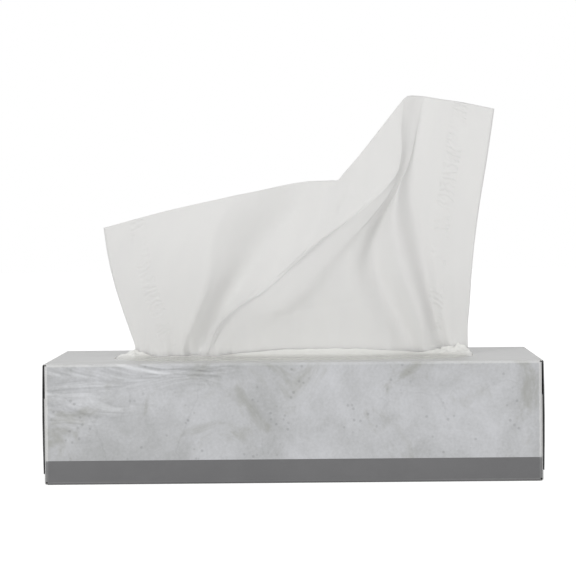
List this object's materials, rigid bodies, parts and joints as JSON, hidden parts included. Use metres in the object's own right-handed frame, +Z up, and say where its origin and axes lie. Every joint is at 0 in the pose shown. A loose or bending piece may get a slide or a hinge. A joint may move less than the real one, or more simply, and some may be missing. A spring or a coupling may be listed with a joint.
{
  "type": "tissue box",
  "caption": "Flat pop-up tissue box: folded board carton with a slit film window and one tissue drawn half out, its folds fanning up to a peak.",
  "frame": {"origin": "on the table, under the middle of the box", "axes": "+X along the long side to the right, +Y towards the back, +Z up; the front panel faces -Y"},
  "size_m": [0.2326, 0.115, 0.181],
  "materials": {
    "printed_board": "printed folding boxboard, satin varnish",
    "film": "thin clear film, slightly milky",
    "tissue": "soft two-ply tissue paper"
  },
  "bodies": {
    "root": {"carton": "printed_board", "window_film": "film", "tissue_stack": "tissue", "popup_tissue": "tissue"}
  },
  "joints": []
}
